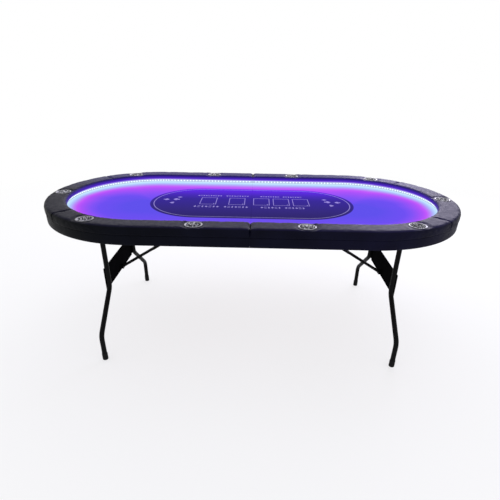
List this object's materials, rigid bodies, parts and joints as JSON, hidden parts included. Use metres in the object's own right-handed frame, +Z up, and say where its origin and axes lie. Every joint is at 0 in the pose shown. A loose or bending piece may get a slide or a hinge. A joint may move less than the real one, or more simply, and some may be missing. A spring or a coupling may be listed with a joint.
{
  "type": "folding racetrack card table",
  "caption": "Folding racetrack-shaped card table with a padded rail, sunk cup holders, edge lighting round a speed-cloth top, and braced wishbone legs that fold flat.",
  "frame": {"origin": "on the floor below the middle of the table", "axes": "+X along the table, +Y away from the front, +Z up"},
  "size_m": [2.134, 1.067, 0.762],
  "materials": {
    "rail_vinyl": "grained black vinyl over foam",
    "speed_cloth": "woven speed cloth, lit violet-blue by the edge lighting",
    "board_wood": "plywood",
    "black_steel": "black powder coat",
    "cup_steel": "pressed and brushed",
    "led_strip": "diffuser strip, lit",
    "foot_rubber": "moulded",
    "hinge_steel": "zinc plated",
    "box_plastic": "moulded",
    "button_plastic": "moulded"
  },
  "bodies": {
    "left_half": {"left_board": "board_wood", "left_playing_cloth": "speed_cloth", "left_apron": "board_wood", "left_fold_batten": "board_wood", "left_led_strip": "led_strip", "left_cup_front_inner": "cup_steel", "left_cup_front_outer": "cup_steel", "left_cup_end": "cup_steel", "left_cup_rear_outer": "cup_steel", "left_cup_rear_inner": "cup_steel", "left_rail_front": "rail_vinyl", "left_rail_end": "rail_vinyl", "left_rail_rear": "rail_vinyl", "left_pivot_bracket_front": "black_steel", "left_pivot_bracket_rear": "black_steel", "left_brace_bracket_front": "black_steel", "left_brace_bracket_rear": "black_steel", "hinge_front_left_leaf": "hinge_steel", "hinge_front_pin": "hinge_steel", "hinge_rear_left_leaf": "hinge_steel", "hinge_rear_pin": "hinge_steel", "led_controller": "box_plastic"},
    "left_legs": {"left_pivot_tube": "black_steel", "left_leg_front": "black_steel", "left_leg_rear": "black_steel", "left_cross_plate": "black_steel", "left_foot_front": "foot_rubber", "left_foot_rear": "foot_rubber"},
    "left_brace_lower": {"left_brace_lower": "black_steel"},
    "left_brace_upper": {"left_brace_upper": "black_steel"},
    "right_half": {"right_board": "board_wood", "right_playing_cloth": "speed_cloth", "right_apron": "board_wood", "right_fold_batten": "board_wood", "right_led_strip": "led_strip", "right_cup_front_inner": "cup_steel", "right_cup_front_outer": "cup_steel", "right_cup_end": "cup_steel", "right_cup_rear_outer": "cup_steel", "right_cup_rear_inner": "cup_steel", "right_rail_front": "rail_vinyl", "right_rail_end": "rail_vinyl", "right_rail_rear": "rail_vinyl", "right_pivot_bracket_front": "black_steel", "right_pivot_bracket_rear": "black_steel", "right_brace_bracket_front": "black_steel", "right_brace_bracket_rear": "black_steel", "hinge_front_right_leaf": "hinge_steel", "hinge_rear_right_leaf": "hinge_steel"},
    "right_legs": {"right_pivot_tube": "black_steel", "right_leg_front": "black_steel", "right_leg_rear": "black_steel", "right_cross_plate": "black_steel", "right_foot_front": "foot_rubber", "right_foot_rear": "foot_rubber"},
    "right_brace_lower": {"right_brace_lower": "black_steel"},
    "right_brace_upper": {"right_brace_upper": "black_steel"},
    "light_button": {"led_button": "button_plastic"}
  },
  "joints": [
    {"name": "centre_fold", "type": "hinge", "parent": "left_half", "child": "right_half", "pos_m": [0, 0, 0.6715], "axis": [0, 1, 0], "range_deg": [0, 90]},
    {"name": "left_leg_fold", "type": "hinge", "parent": "left_half", "child": "left_legs", "pos_m": [-0.753, 0, 0.6925], "axis": [0, -1, 0], "range_deg": [0, 90]},
    {"name": "left_brace_upper_turn", "type": "hinge", "parent": "left_half", "child": "left_brace_upper", "pos_m": [-0.153, 0, 0.6925], "axis": [0, 1, 0], "range_deg": [0, 31.43]},
    {"name": "left_brace_lower_turn", "type": "hinge", "parent": "left_legs", "child": "left_brace_lower", "pos_m": [-0.753, 0, 0.326], "axis": [0, -1, 0], "range_deg": [0, 58.59]},
    {"name": "right_leg_fold", "type": "hinge", "parent": "right_half", "child": "right_legs", "pos_m": [0.753, 0, 0.6925], "axis": [0, 1, 0], "range_deg": [0, 90]},
    {"name": "right_brace_upper_turn", "type": "hinge", "parent": "right_half", "child": "right_brace_upper", "pos_m": [0.153, 0, 0.6925], "axis": [0, -1, 0], "range_deg": [0, 31.43]},
    {"name": "right_brace_lower_turn", "type": "hinge", "parent": "right_legs", "child": "right_brace_lower", "pos_m": [0.753, 0, 0.326], "axis": [0, 1, 0], "range_deg": [0, 58.59]},
    {"name": "button_press", "type": "slide", "parent": "left_half", "child": "light_button", "axis": [0, 0, 1], "range_m": [0, 0.0015], "stiffness_N_per_m": 400}
  ],
  "couplings": [
    {"joint": "left_brace_upper_turn", "follows": "left_leg_fold", "ratio": 0.34909},
    {"joint": "left_brace_lower_turn", "follows": "left_leg_fold", "ratio": 0.65091},
    {"joint": "right_brace_upper_turn", "follows": "right_leg_fold", "ratio": 0.34909},
    {"joint": "right_brace_lower_turn", "follows": "right_leg_fold", "ratio": 0.65091}
  ]
}
